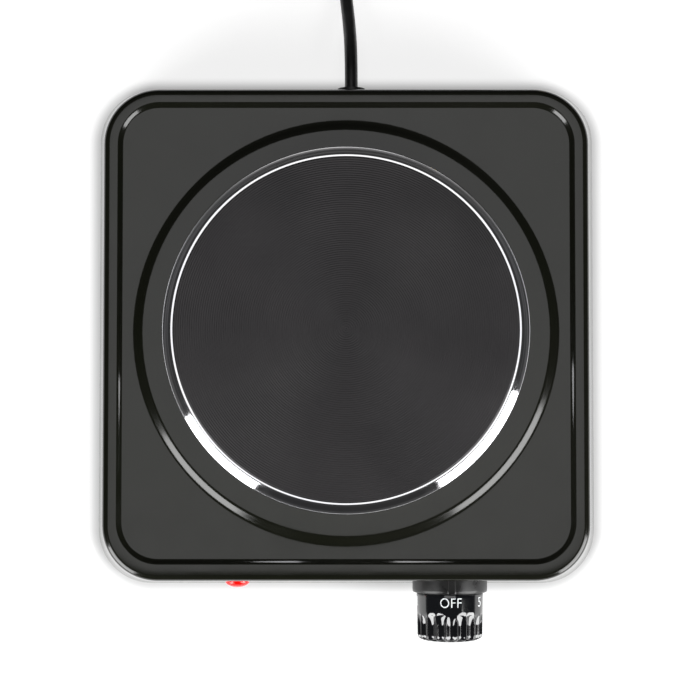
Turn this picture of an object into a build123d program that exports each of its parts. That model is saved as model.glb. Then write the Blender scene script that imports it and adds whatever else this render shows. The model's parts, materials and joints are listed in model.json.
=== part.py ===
from build123d import *
import math
import os

# A single hot plate: a cast-iron plate in a pressed steel housing, with a thermostat knob, a pilot lamp
# and a mains cord. X runs to the right, Y to the back and Z up from the worktop. All in millimetres.
# Functions place their part about the centre of the housing's bottom edge. save() moves it to the frame
# of the model, whose origin is the middle of the whole footprint, knob included.

# Housing
SIDE = 230.0  # outside of the housing at its bottom edge
CORNER = 24.7
TOP_WIDTH = 215.6
TOP_DEPTH = 218.2
TOP_CORNER = 24.2
TOP_Y = -1.5  # the front wall is steeper than the back wall
SHELL_Z = 8.0  # bottom edge, above the worktop
RIM_Z = 52.0
SHEET = 0.8
EDGE_R = 3.0
LIP = 12.0  # inward flange that the base plate is screwed to
STEP = 1.5  # depth of both pressed steps
PANEL_Y = -0.8  # middle of both steps
PANEL_WIDTH = 204.8  # outer edge of the square step
PANEL_DEPTH = 206.6
PANEL_CORNER = 19.0
PANEL_RUN = 3.4  # width of the square step's slope
RAISED_R = 95.4  # outer edge of the round step
RAISED_RUN = 5.9
PANEL_Z = RIM_Z - STEP
ROOF_Z = RIM_Z - SHEET  # underside of the rim and of the raised area

# Hot plate and what hangs on its stud
RING_Y = -0.7
PLATE_Y = -0.1
PLATE_Z = 66.0  # where a pan stands
PLATE_R = 75.2
PLATE_BODY_R = 77.0
PLATE_WEB_Z = 60.0  # underside of the plate's web
PLATE_FOOT_Z = RIM_Z + 0.6
RING_R = 80.8
RING_SHEET = 0.6
HOLE_R = 72.0
HUB_R = 12.0
HUB_Z = 51.0
COIL_RADII = (30.0, 60.0)
COIL_Z = 56.5
COIL_TUBE_R = 2.5
COIL_GAP_DEG = 30.0  # each coil is open at the back, where its pins are
CHANNELS = ((16.0, 44.0), (47.0, 74.0))  # grooves under the plate, inner and outer radius
PIN_R = 1.5
STUD_R = 3.0
SHIELD_R = 66.0
SHIELD_Z = 44.0
BAR_Z = 40.0
BAR_WIDTH = 24.0
BAR_SHEET = 1.6
FUSE_Z = 41.5

# Control, on an axis along Y through the front wall
KNOB_X = 46.9
CONTROL_Z = 29.0
SHAFT_R = 3.0
RUNNING_GAP = 0.05
KNOB_BACK = -117.7
KNOB_FRONT = -140.1
KNOB_R = 15.1
KNOB_TIP_R = 14.7
FLUTES = 20
FLUTE_R = 2.0
BEZEL_R = 16.9
BEZEL_FRONT = -117.4
THERMOSTAT_FRONT = -108.5
THERMOSTAT_BACK = -86.5
SHAFT_END = -98.3
PIN_TRAVEL = 0.8

# Pilot lamp
LAMP_X = -49.3
LENS_R = 5.9
BARREL_R = 4.8

# Base
BASE_SIDE = 222.0
BASE_CORNER = 21.0
BASE_Z = SHELL_Z - SHEET
FOOT_AT = 88.0
FOOT_R = 9.0
SCREW_X = 62.0
SCREW_Y = 106.5

# Cord
CORD_R = 3.0
CORD_X = 2.3
CORD_Z = 17.0
BUSH_BACK = 114.1
COIL_TURN_R = 33.0  # middle of the cord coil's turns
CORD_COIL_WIDTH = 4 * CORD_R  # two turns side by side, in two layers
CORD_COIL_Z = 0.6
LOW_LAY = CORD_COIL_Z + CORD_R
HIGH_LAY = LOW_LAY + 2 * CORD_R
STUB = 22.5  # straight cord beside the coil, until it is clear of it
CORD_COIL_Y = 201.5
CORD_ROUTE = (
    (CORD_X, BUSH_BACK, CORD_Z),
    (CORD_X, 130.5, CORD_Z),
    (1.3, 147.0, 8.5),
    (-0.6, 163.5, LOW_LAY),
    (-0.6, CORD_COIL_Y - STUB, LOW_LAY),
)
OUTER_TURN_R = COIL_TURN_R + CORD_R
CORD_COIL_X = CORD_ROUTE[-1][0] + OUTER_TURN_R
PLUG_RELIEF = 20.0
PLUG_LENGTH = 32.0
PLUG_WIDTH = 28.0
PLUG_HEIGHT = 24.0

FRAME_Y = -(KNOB_FRONT + SIDE / 2) / 2  # centres the footprint of housing and knob


def upright(radius, z0, z1, x=0.0, y=0.0):
    """A round bar along Z."""
    return Pos(x, y, (z0 + z1) / 2) * Cylinder(radius, z1 - z0)


def tube(outer, inner, z0, z1, x=0.0, y=0.0):
    """A round tube along Z."""
    return upright(outer, z0, z1, x, y) - upright(inner, z0, z1, x, y)


def along_y(radius, y0, y1, x, z):
    """A round bar along Y."""
    return Pos(x, (y0 + y1) / 2, z) * Rot(90, 0, 0) * Cylinder(radius, y1 - y0)


def block(x, y, z):
    """A box between three pairs of limits."""
    return Pos(sum(x) / 2, sum(y) / 2, sum(z) / 2) * Box(x[1] - x[0], y[1] - y[0], z[1] - z[0])


def tapered_block(low, high):
    """A tapered body between two rounded rectangles, each given as width, depth, corner radius, Y and Z."""
    faces = []
    for width, depth, corner, y, z in (low, high):
        faces.append(Pos(0, y, z) * RectangleRounded(width, depth, corner))
    return loft(faces, ruled=True)


def turned(points, y):
    """A body turned about a vertical axis, from its half section of (radius, z) points."""
    section = make_face(Plane.XZ * Polyline(*points, close=True))
    return Pos(0, y, 0) * revolve(section, Axis.Z)


def turned_about_y(points, x, z):
    """A body turned about an axis along Y, from its half section of (radius, y) points."""
    section = make_face(Plane.XY * Polyline(*points, close=True))
    return Pos(x, 0, z) * revolve(section, Axis.Y)


def hexagon(across_flats, z0, z1, x=0.0, y=0.0):
    """A nut's outside along Z."""
    outline = RegularPolygon(across_flats / 2, 6, major_radius=False)
    return Pos(x, y, z0) * extrude(outline, z1 - z0)


def swept(points, radius, radii):
    """A round rod along straight runs that are joined by tangent arcs."""
    path = FilletPolyline(*points, radius=radii)
    return sweep(Plane(path @ 0, z_dir=path % 0) * Circle(radius), path=path)


def four(x, y):
    """The four places at plus and minus x and y."""
    return [(sx * x, sy * y) for sx in (-1, 1) for sy in (-1, 1)]


def pin_places():
    """Where the ends of both heating coils come down."""
    half_gap = math.radians(COIL_GAP_DEG / 2)
    return [
        (side * radius * math.sin(half_gap), PLATE_Y + radius * math.cos(half_gap))
        for radius in COIL_RADII
        for side in (-1, 1)
    ]


def housing_block():
    """The housing's outside as one solid, without its pressed steps."""
    bottom = (SIDE, SIDE, CORNER, 0, SHELL_Z)
    body = tapered_block(bottom, (TOP_WIDTH, TOP_DEPTH, TOP_CORNER, TOP_Y, RIM_Z))
    return fillet(body.edges().group_by(Axis.Z)[-1], EDGE_R)


def panel_step(drop, grow):
    """The square recess inside the rim, moved down by drop and widened by grow on each side."""
    width = PANEL_WIDTH + 2 * grow
    depth = PANEL_DEPTH + 2 * grow
    run = 2 * PANEL_RUN
    low = (width - run, depth - run, PANEL_CORNER - PANEL_RUN, PANEL_Y, PANEL_Z - drop)
    high = (width, depth, PANEL_CORNER, PANEL_Y, RIM_Z - drop)
    return tapered_block(low, high)


def raised_step(drop, shrink):
    """The round raised area, moved down by drop and narrowed by shrink."""
    low_r = RAISED_R - shrink
    return Pos(0, PANEL_Y, PANEL_Z - drop + STEP / 2) * Cone(low_r, low_r - RAISED_RUN, STEP)


def top_shell():
    outside = housing_block() - panel_step(0, 0) + raised_step(0, 0)
    wall = 2 * SHEET
    cavity = tapered_block(
        (SIDE - wall, SIDE - wall, CORNER - SHEET, 0, SHELL_Z + SHEET),
        (TOP_WIDTH - wall, TOP_DEPTH - wall, TOP_CORNER - SHEET, TOP_Y, ROOF_Z),
    )
    cavity = fillet(cavity.edges().group_by(Axis.Z)[-1], EDGE_R - SHEET)
    cavity = cavity - panel_step(SHEET, SHEET) + raised_step(SHEET, SHEET / 2)
    opening_side = SIDE - wall - 2 * LIP
    mouth = extrude(Pos(0, 0, SHELL_Z - 1) * RectangleRounded(opening_side, opening_side, 13), 3)
    shell = outside - cavity - mouth - upright(HOLE_R, PANEL_Z - 5, RIM_Z + 5, 0, RING_Y)
    shell -= along_y(5.0, -120, -100, KNOB_X, CONTROL_Z)
    shell -= along_y(BARREL_R + 0.2, -120, -100, LAMP_X, CONTROL_Z)
    shell -= along_y(5.6, 100, 120, CORD_X, CORD_Z)
    for x, y in four(SCREW_X, SCREW_Y):
        shell -= upright(1.7, SHELL_Z - 1, SHELL_Z + 2, x, y)
    return shell


def base_plate():
    plate = extrude(Pos(0, 0, BASE_Z) * RectangleRounded(BASE_SIDE, BASE_SIDE, BASE_CORNER), SHEET)
    slot = extrude(SlotOverall(40, 3.2, rotation=90), 3)
    for place in GridLocations(9, 64, 9, 2):
        plate -= Pos(0, 0, BASE_Z - 1) * place * slot
    for x, y in four(SCREW_X, SCREW_Y) + four(FOOT_AT, FOOT_AT) + [(30, 66)]:
        plate -= upright(1.8, BASE_Z - 1, SHELL_Z + 1, x, y)
    return plate


def base_screws():
    return [
        upright(3.4, BASE_Z - 1.8, BASE_Z, x, y) + upright(1.6, BASE_Z, 13, x, y)
        for x, y in four(SCREW_X, SCREW_Y)
    ]


def feet():
    feet = []
    for x, y in four(FOOT_AT, FOOT_AT):
        foot = Pos(x, y, BASE_Z / 2) * Cone(FOOT_R - 1, FOOT_R, BASE_Z)
        foot -= upright(4.6, -1, 4, x, y) + upright(1.8, 3, 9, x, y)
        feet.append(foot)
    return feet


def foot_screws():
    return [upright(3.6, 2.2, 4, x, y) + upright(1.6, 4, 12, x, y) for x, y in four(FOOT_AT, FOOT_AT)]


def foot_nuts():
    return [
        hexagon(5.5, SHELL_Z, SHELL_Z + 2.4, x, y) - upright(1.65, SHELL_Z - 1, 12, x, y)
        for x, y in four(FOOT_AT, FOOT_AT)
    ]


def hotplate_disc():
    (inner_0, inner_1), (outer_0, outer_1) = CHANNELS
    section = (
        (0, PLATE_Z), (PLATE_R - 0.6, PLATE_Z), (PLATE_R, PLATE_Z - 0.6), (PLATE_R, 62.2),
        (PLATE_BODY_R, 62.0), (PLATE_BODY_R, PLATE_FOOT_Z), (outer_1, PLATE_FOOT_Z),
        (outer_1, PLATE_WEB_Z), (outer_0, PLATE_WEB_Z), (outer_0, 53.5), (inner_1, 53.5),
        (inner_1, PLATE_WEB_Z), (inner_0, PLATE_WEB_Z), (HUB_R, 57), (HUB_R, HUB_Z), (0, HUB_Z),
    )
    return turned(section, PLATE_Y) - upright(STUD_R + RUNNING_GAP, HUB_Z - 1, 58.5, 0, PLATE_Y)


def trim_ring():
    """A drawn band: an upright skirt, a bevel, and a narrow flat lip beside the plate."""
    outside = (
        (RING_R, RIM_Z), (RING_R, 61.6), (80.6, 62.4), (80.1, 63.0), (77.7, 64.85), (77.2, 65.1),
        (76.6, 65.2), (76.0, 65.15),
    )
    inside = (
        (75.9, 64.75), (76.3, 64.5), (77.3, 64.3), (79.7, 62.4), (RING_R - RING_SHEET, 61.4),
        (RING_R - RING_SHEET, PLATE_FOOT_Z),
    )
    foot = ((74.5, PLATE_FOOT_Z), (74.5, RIM_Z))
    return turned(outside + inside + foot, RING_Y)


def coil_rings(tube_r):
    """Both heating coils, open at the back, with a given tube radius."""
    start = Rot(0, 0, 90 + COIL_GAP_DEG / 2)
    rings = []
    for radius in COIL_RADII:
        ring = start * Torus(radius, tube_r, major_angle=360 - COIL_GAP_DEG)
        rings.append(Pos(0, PLATE_Y, COIL_Z) * ring)
    return rings


def heating_coil():
    return coil_rings(COIL_TUBE_R)


def insulation_fill():
    """The magnesia that fills the plate's grooves round the coils."""
    gap = 0.2
    fill = []
    for (inner, outer), ring in zip(CHANNELS, coil_rings(COIL_TUBE_R + 0.1)):
        part = tube(outer - gap, inner + gap, 53.6, PLATE_WEB_Z - gap, 0, PLATE_Y) - ring
        for x, y in pin_places():
            part -= upright(PIN_R + 0.1, 50, 57, x, y)
        fill.append(part)
    return fill


def coil_pins():
    """Terminal pins, each from the underside of its coil's end."""
    tops = COIL_Z - COIL_TUBE_R
    return [upright(PIN_R, BAR_Z, tops, x, y) for x, y in pin_places()]


def pin_bushes():
    return [tube(4.0, PIN_R + 0.1, 43, 52.7, x, y) for x, y in pin_places()]


def element_cover():
    cover = tube(73.6, HUB_R + 0.4, 52.8, 53.4, 0, PLATE_Y)
    for x, y in pin_places():
        cover -= upright(PIN_R + 0.5, 50, 55, x, y)
    return cover


def heat_shield():
    shield = upright(SHIELD_R, SHIELD_Z, 48, 0, PLATE_Y)
    shield -= upright(SHIELD_R - 0.6, SHIELD_Z + 0.6, 49, 0, PLATE_Y)
    shield -= upright(STUD_R + 0.3, 40, 50, 0, PLATE_Y)
    for x, y in pin_places():
        shield -= upright(4.2, 40, 50, x, y)
    return shield


def mounting_bar():
    """A strip under the shield whose raised ends pull up against the housing's roof."""
    bend, rise, end = 68.0, 76.0, 88.0
    under = ROOF_Z - BAR_SHEET
    right = [(bend, BAR_Z), (rise, under), (end, under), (end, ROOF_Z), (rise - 1, ROOF_Z)]
    right.append((bend - 1, BAR_Z + BAR_SHEET))
    left = [(-x, z) for x, z in reversed(right)]
    section = make_face(Plane.XZ * Polyline(*right, *left, close=True))
    bar = Pos(0, PLATE_Y, 0) * extrude(section, BAR_WIDTH / 2, both=True)
    return bar - upright(STUD_R + 0.2, BAR_Z - 1, BAR_Z + 3, 0, PLATE_Y)


def centre_stud():
    return upright(STUD_R, 32, 58, 0, PLATE_Y)


def stud_spacers():
    bore = STUD_R + 0.3
    lower = tube(6.0, bore, BAR_Z + BAR_SHEET, SHIELD_Z, 0, PLATE_Y)
    return [lower, tube(6.5, bore, SHIELD_Z + 0.6, HUB_Z, 0, PLATE_Y)]


def stud_washer():
    return tube(8.0, STUD_R + 0.2, 38.9, BAR_Z, 0, PLATE_Y)


def stud_nut():
    return hexagon(10, 33.9, 38.9, 0, PLATE_Y) - upright(STUD_R + 0.05, 33, 39.5, 0, PLATE_Y)


def link_straps():
    """Strips that join the pins of the inner coil to those of the outer one."""
    inner_left, inner_right, outer_left, outer_right = pin_places()
    straps = []
    for start, end in ((inner_left, outer_left), (inner_right, outer_right)):
        reach = math.dist(start, end)
        lean = math.degrees(math.atan2(end[1] - start[1], end[0] - start[0]))
        middle = Pos((start[0] + end[0]) / 2, (start[1] + end[1]) / 2, BAR_Z + 0.5)
        strap = middle * Rot(0, 0, lean) * extrude(SlotOverall(reach + 6, 6), 0.8)
        for x, y in (start, end):
            strap -= upright(PIN_R + 0.1, BAR_Z - 1, BAR_Z + 3, x, y)
        straps.append(strap)
    return straps


def thermostat_body():
    """A ceramic block with the shaft's bore in front and the pin's bore behind."""
    half = 10.0
    body = block(
        (KNOB_X - half, KNOB_X + half),
        (THERMOSTAT_FRONT, THERMOSTAT_BACK),
        (CONTROL_Z - 12, CONTROL_Z + 12),
    )
    body -= along_y(SHAFT_R + 0.3, THERMOSTAT_FRONT - 1, SHAFT_END + 0.4, KNOB_X, CONTROL_Z)
    return body - along_y(1.3, SHAFT_END, THERMOSTAT_BACK + 1, KNOB_X, CONTROL_Z)


def thermostat_neck():
    """The threaded brass neck that the shaft turns in."""
    neck = along_y(4.5, -116.5, THERMOSTAT_FRONT, KNOB_X, CONTROL_Z)
    return neck - along_y(SHAFT_R + RUNNING_GAP, -118, THERMOSTAT_FRONT + 1, KNOB_X, CONTROL_Z)


def thermostat_nut():
    nut = Pos(KNOB_X, -113.8, CONTROL_Z) * Rot(90, 0, 0) * extrude(
        RegularPolygon(6, 6, major_radius=False), 2.4
    )
    return nut - along_y(4.55, -118, -112, KNOB_X, CONTROL_Z)


def adjusting_pin():
    """The ceramic pin that the shaft's thread pushes against the first blade."""
    return along_y(1.2, SHAFT_END + 0.2, THERMOSTAT_BACK + 2.0, KNOB_X, CONTROL_Z)


def contact_blades():
    """Two spring blades behind the thermostat, with the contact on the second."""
    width = (KNOB_X - 4, KNOB_X + 4)
    front = THERMOSTAT_BACK + 2.0 + PIN_TRAVEL + 0.2
    first = block(width, (front, front + 0.4), (19, 41))
    second = block(width, (front + 2.6, front + 3.0), (19, 41))
    contact = along_y(1.8, front + 1.4, front + 2.6, KNOB_X, 37.5)
    return [first, second + contact]


def blade_spacers():
    """Ceramic spacers that stack the blades and the bimetal strip behind the body."""
    width = (KNOB_X - 6, KNOB_X + 6)
    front = THERMOSTAT_BACK + 2.0 + PIN_TRAVEL + 0.2
    gaps = (
        (THERMOSTAT_BACK, front),
        (front + 0.4, front + 2.6),
        (front + 3.0, front + 5.4),
    )
    return [block(width, gap, (18, 23.5)) for gap in gaps]


def bimetal_strip():
    front = THERMOSTAT_BACK + 2.0 + PIN_TRAVEL + 5.6
    return block((KNOB_X - 5, KNOB_X + 5), (front, front + 0.7), (18, 42))


def control_shaft():
    shaft = along_y(SHAFT_R, -133.5, SHAFT_END, KNOB_X, CONTROL_Z)
    flat = block((KNOB_X - 4, KNOB_X + 4), (-134, -121), (CONTROL_Z + 2.2, CONTROL_Z + 4))
    return shaft - flat


def knob_clip():
    """A thin steel leaf that wedges the knob's bore against the shaft's flat."""
    return block((KNOB_X - 1.5, KNOB_X + 1.5), (-131, -121.5), (CONTROL_Z + 2.25, CONTROL_Z + 2.55))


def knob():
    """A dial at the back, a fluted grip in front and a slightly domed face."""
    section = (
        (0, KNOB_FRONT), (6, KNOB_FRONT + 0.25), (10.5, KNOB_FRONT + 0.8), (13.0, KNOB_FRONT + 1.5),
        (KNOB_TIP_R, KNOB_FRONT + 3.2), (KNOB_R, KNOB_BACK - 0.3), (KNOB_R - 0.3, KNOB_BACK),
        (0, KNOB_BACK),
    )
    body = turned_about_y(section, KNOB_X, CONTROL_Z)
    for step in range(FLUTES):
        angle = 2 * math.pi * (step + 0.5) / FLUTES
        reach = KNOB_R + FLUTE_R - 0.9
        x = KNOB_X + reach * math.cos(angle)
        z = CONTROL_Z + reach * math.sin(angle)
        body -= along_y(FLUTE_R, KNOB_FRONT - 1, -127.5, x, z)
    hollow = along_y(12.4, -134, KNOB_BACK + 1, KNOB_X, CONTROL_Z)
    hollow -= along_y(5.5, -135, -118.6, KNOB_X, CONTROL_Z)
    bore = along_y(SHAFT_R + RUNNING_GAP, -134.2, -118, KNOB_X, CONTROL_Z)
    bore -= block((KNOB_X - 4, KNOB_X + 4), (-135, -121.2), (CONTROL_Z + 2.6, CONTROL_Z + 4))
    return body - hollow - bore


def dial_bezel():
    """A collar on the sloping wall, with a raised mark at the top that the dial is read against."""
    collar = along_y(BEZEL_R, BEZEL_FRONT, -107, KNOB_X, CONTROL_Z)
    mark = block(
        (KNOB_X - 1.5, KNOB_X + 1.5),
        (BEZEL_FRONT, -107),
        (CONTROL_Z + BEZEL_R - 1, CONTROL_Z + BEZEL_R + 0.4),
    )
    recess = along_y(8.2, -120, -100, KNOB_X, CONTROL_Z)
    return collar + mark - recess - housing_block()


def lamp_lens():
    """A low red dome outside the wall and a hollow barrel inside it."""
    section = (
        (0, -115.3), (2.2, -115.05), (4.0, -114.35), (5.2, -113.4), (LENS_R, -112.2), (LENS_R, -108),
        (0, -108),
    )
    dome = turned_about_y(section, LAMP_X, CONTROL_Z) - housing_block()
    barrel = along_y(BARREL_R, -112.2, -98, LAMP_X, CONTROL_Z)
    return dome + barrel - along_y(3.8, -111, -97, LAMP_X, CONTROL_Z)


def lamp_bulb():
    return along_y(2.8, -110, -97, LAMP_X, CONTROL_Z)


def lamp_clip():
    """The push-on ring that holds the lens from inside."""
    ring = along_y(7.5, -109.4, -108.6, LAMP_X, CONTROL_Z)
    return ring - along_y(BARREL_R + 0.05, -110, -106, LAMP_X, CONTROL_Z)


def cord_bush():
    """A low snap-in bush: an outer flange on the sloping back wall, a neck and an inner collar."""
    flange = along_y(6.3, 110, BUSH_BACK, CORD_X, CORD_Z) - housing_block()
    neck = along_y(5.5, 105, BUSH_BACK - 1, CORD_X, CORD_Z)
    collar = along_y(6.6, 105, 110.8, CORD_X, CORD_Z)
    return flange + neck + collar - along_y(CORD_R + 0.05, 100, 120, CORD_X, CORD_Z)


def cord_tail():
    """The end of the cord's sheath inside the housing."""
    return along_y(CORD_R, 82, BUSH_BACK, CORD_X, CORD_Z)


def clamp_half(z0, z1):
    """One half of the saddle clamp round the cord."""
    half = block((CORD_X - 11, CORD_X + 11), (88, 96), (z0, z1))
    half -= along_y(CORD_R + 0.02, 80, 100, CORD_X, CORD_Z)
    for side in (-1, 1):
        half -= upright(1.65, SHELL_Z + 1, 23, CORD_X + side * 7.5, 92)
    return half


def cord_clamp_base():
    return clamp_half(SHELL_Z, CORD_Z - 0.2)


def cord_clamp_bar():
    return clamp_half(CORD_Z + 0.2, CORD_Z + 4.5)


def clamp_screws():
    top = CORD_Z + 4.5
    places = [(CORD_X + side * 7.5, 92) for side in (-1, 1)]
    return [upright(3.0, top, top + 1.8, x, y) + upright(1.6, SHELL_Z + 1, top, x, y) for x, y in places]


def earth_screw():
    under_head = SHELL_Z + 0.9
    head = upright(3.2, under_head, under_head + 1.8, 30, 66)
    return head + upright(1.7, BASE_Z - 1, under_head, 30, 66)


def earth_wire():
    """From the cord to a ring tag under the earth screw."""
    points = ((2.3, 82, 15.4), (2.3, 73, 15.4), (8, 66, 10.4), (18, 66, 9.3), (26, 66, 9.3))
    wire = swept(points, 0.9, [4, 4, 6])
    return wire + tube(4.2, 1.75, SHELL_Z, SHELL_Z + 0.9, 30, 66)


def neutral_wire():
    """From the cord up to the left outer pin."""
    x, y = pin_places()[2]
    points = ((0.7, 82, 18), (0.7, 72, 18), (x, 70, 26), (x, y, 30), (x, y, BAR_Z))
    return swept(points, 0.9, [4, 4, 4])


def live_wire():
    """From the cord along the base to the thermostat's first blade."""
    points = (
        (3.9, 82, 18), (3.9, 70, 18), (24, 52, 15), (34, 10, 15), (40, -50, 15), (KNOB_X - 5, -72, 17),
        (KNOB_X - 5, -79, 17),
    )
    return swept(points, 0.9, [6, 10, 10, 10, 3])


def heater_wire():
    """From the second blade to the thermal fuse, and from the fuse to the right outer pin."""
    x, y = pin_places()[3]
    first = ((KNOB_X + 5, -78, 17), (KNOB_X + 5, -70, 17), (62, -40, 20), (52, 0, 24), (38, 10, 36))
    first += ((34, 18, FUSE_Z), (34, 23.9, FUSE_Z))
    second = ((34, 36.1, FUSE_Z), (34, 42, FUSE_Z), (x + 6, y, 34), (x, y, 34), (x, y, BAR_Z))
    return [swept(first, 0.9, [3, 8, 8, 3, 2]), swept(second, 0.9, [3, 2, 2])]


def lamp_wires():
    """Two leads from the pilot lamp along the front to the thermostat."""
    wires = []
    for side in (-1, 1):
        points = (
            (LAMP_X + side * 1.4, -97, CONTROL_Z),
            (LAMP_X + side * 1.4, -90, CONTROL_Z),
            (LAMP_X + 12, -84 + side * 1.4, 14),
            (20, -84 + side * 1.4, 14),
            (KNOB_X - 12, -80 + side * 1.4, 16),
        )
        wires.append(swept(points, 0.8, [4, 6, 4]))
    return wires


def thermal_fuse():
    return along_y(2.1, 24, 36, 34, FUSE_Z)


def fuse_strap():
    """A strap under the shield that holds the fuse against it."""
    strap = block((31, 37), (28, 32), (38.6, SHIELD_Z)) - along_y(2.15, 20, 40, 34, FUSE_Z)
    return strap - block((31.85, 36.15), (27, 33), (FUSE_Z, SHIELD_Z + 1))


def corner_radii(points):
    """For each corner of a route, the largest arc that its two runs allow."""
    radii = []
    for before, corner, after in zip(points, points[1:], points[2:]):
        run_in = Vector(*corner) - Vector(*before)
        run_out = Vector(*after) - Vector(*corner)
        half_turn = math.radians(run_in.get_angle(run_out)) / 2
        radii.append(0.45 * min(run_in.length, run_out.length) / math.tan(half_turn))
    return radii


def power_cord():
    """From the bush down to the worktop and back to the coil."""
    radii = corner_radii(CORD_ROUTE)
    path = FilletPolyline(*CORD_ROUTE, radius=radii)
    cord = sweep(Plane(path @ 0, z_dir=path % 0) * Circle(CORD_R), path=path)
    print("cord arcs", [round(radius, 1) for radius in radii], "length", round(path.length, 1))
    expected = math.pi * CORD_R**2 * path.length
    print("cord volume", round(cord.volume, 1), "section x length", round(expected, 1))
    return cord


def cord_coil():
    """The wound length, two turns wide and two high, with both ends leaving straight."""
    half = CORD_COIL_WIDTH / 2
    top = CORD_COIL_Z + CORD_COIL_WIDTH
    coil = tube(COIL_TURN_R + half, COIL_TURN_R - half, CORD_COIL_Z, top, CORD_COIL_X, CORD_COIL_Y)
    coil += along_y(CORD_R, CORD_COIL_Y - STUB, CORD_COIL_Y, CORD_ROUTE[-1][0], LOW_LAY)
    leave = Pos(CORD_COIL_X + STUB / 2, CORD_COIL_Y + OUTER_TURN_R, HIGH_LAY)
    return coil + leave * Rot(0, 90, 0) * Cylinder(CORD_R, STUB)


def cord_tie():
    """A flat tie round the coil's turns."""
    half = CORD_COIL_WIDTH / 2
    inner = (COIL_TURN_R - half - 0.4, COIL_TURN_R + half + 0.2)
    height = (CORD_COIL_Z - 0.05, CORD_COIL_Z + CORD_COIL_WIDTH + 0.05)
    band = block((inner[0] - 0.5, inner[1] + 0.5), (-3, 3), (height[0] - 0.5, height[1] + 0.5))
    band -= block(inner, (-4, 4), height)
    return Pos(CORD_COIL_X, CORD_COIL_Y, 0) * Rot(0, 0, -30) * band


def plug_body():
    """A moulded three-pin plug with a tapered strain relief, lying beside the coil."""
    start = CORD_COIL_X + STUB
    y = CORD_COIL_Y + OUTER_TURN_R
    relief = loft([
        Pos(start, y, HIGH_LAY) * Rot(0, 90, 0) * Circle(CORD_R + 0.6),
        Pos(start + PLUG_RELIEF, y, PLUG_HEIGHT / 2) * Rot(0, 90, 0) * Circle(6.5),
    ])
    back = Pos(start + PLUG_RELIEF, y, PLUG_HEIGHT / 2) * Rot(0, 90, 0)
    front = Pos(start + PLUG_RELIEF + PLUG_LENGTH, y, PLUG_HEIGHT / 2) * Rot(0, 90, 0)
    body = loft([
        back * RectangleRounded(PLUG_HEIGHT - 7, PLUG_WIDTH - 9, 5),
        front * RectangleRounded(PLUG_HEIGHT, PLUG_WIDTH, 6),
    ], ruled=True)
    return relief + body


def plug_pins():
    """Two flat blades and one round earth pin."""
    start = CORD_COIL_X + STUB + PLUG_RELIEF + PLUG_LENGTH
    y = CORD_COIL_Y + OUTER_TURN_R
    z = PLUG_HEIGHT / 2
    blades = [
        block((start, start + 17), (y + side - 0.75, y + side + 0.75), (z - 7, z - 0.7))
        for side in (-6.35, 6.35)
    ]
    earth = Pos(start + 9.5, y, z + 7) * Rot(0, 90, 0) * Cylinder(2.4, 19)
    return blades + [earth]


PARTS = (
    top_shell, base_plate, base_screws, feet, foot_screws, foot_nuts,
    hotplate_disc, trim_ring, heating_coil, insulation_fill, coil_pins, pin_bushes, element_cover,
    heat_shield, mounting_bar, centre_stud, stud_spacers, stud_washer, stud_nut, link_straps,
    thermostat_body, thermostat_neck, thermostat_nut, adjusting_pin, contact_blades, blade_spacers,
    bimetal_strip, control_shaft, knob_clip, knob, dial_bezel, thermal_fuse, fuse_strap,
    lamp_lens, lamp_bulb, lamp_clip,
    cord_bush, cord_tail, cord_clamp_base, cord_clamp_bar, clamp_screws, earth_screw,
    earth_wire, neutral_wire, live_wire, heater_wire, lamp_wires,
    power_cord, cord_coil, cord_tie, plug_body, plug_pins,
)


def save(part):
    """Writes one sub-part in the model's frame. A list is a group of separate solids."""
    shape = part()
    solids = shape if isinstance(shape, list) else [shape]
    group = Compound(children=[Pos(0, FRAME_Y, 0) * solid for one in solids for solid in one.solids()])
    export_step(group, f"parts/{part.__name__}.step")


if __name__ == "__main__":
    os.makedirs("parts", exist_ok=True)
    for part in PARTS:
        save(part)
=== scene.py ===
import json
import math

import bmesh
import bpy
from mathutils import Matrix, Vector


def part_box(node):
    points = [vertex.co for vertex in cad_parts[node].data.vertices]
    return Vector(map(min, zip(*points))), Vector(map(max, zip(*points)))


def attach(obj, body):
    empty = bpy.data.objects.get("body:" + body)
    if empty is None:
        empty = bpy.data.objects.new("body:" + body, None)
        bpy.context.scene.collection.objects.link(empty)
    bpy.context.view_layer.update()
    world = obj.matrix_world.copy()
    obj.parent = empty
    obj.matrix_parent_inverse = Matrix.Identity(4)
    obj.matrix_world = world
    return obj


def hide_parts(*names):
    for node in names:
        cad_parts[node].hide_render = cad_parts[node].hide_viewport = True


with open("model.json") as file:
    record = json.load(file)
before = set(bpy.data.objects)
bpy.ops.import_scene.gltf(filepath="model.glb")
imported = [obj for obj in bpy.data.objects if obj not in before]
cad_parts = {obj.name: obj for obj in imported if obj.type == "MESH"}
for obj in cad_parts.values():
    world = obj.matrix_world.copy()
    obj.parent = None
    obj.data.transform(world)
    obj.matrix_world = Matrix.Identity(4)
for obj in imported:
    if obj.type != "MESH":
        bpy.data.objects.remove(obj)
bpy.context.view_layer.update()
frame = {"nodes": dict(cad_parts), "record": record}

# A table-top hot plate. Sizes below are in millimetres; at() turns a place that is measured from the
# middle of the housing's bottom edge into metres in the model's frame.
MM = 0.001


def mm_box(node):
    """A CAD node's lowest and highest corners, in millimetres."""
    low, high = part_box(node)
    return low / MM, high / MM


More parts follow.
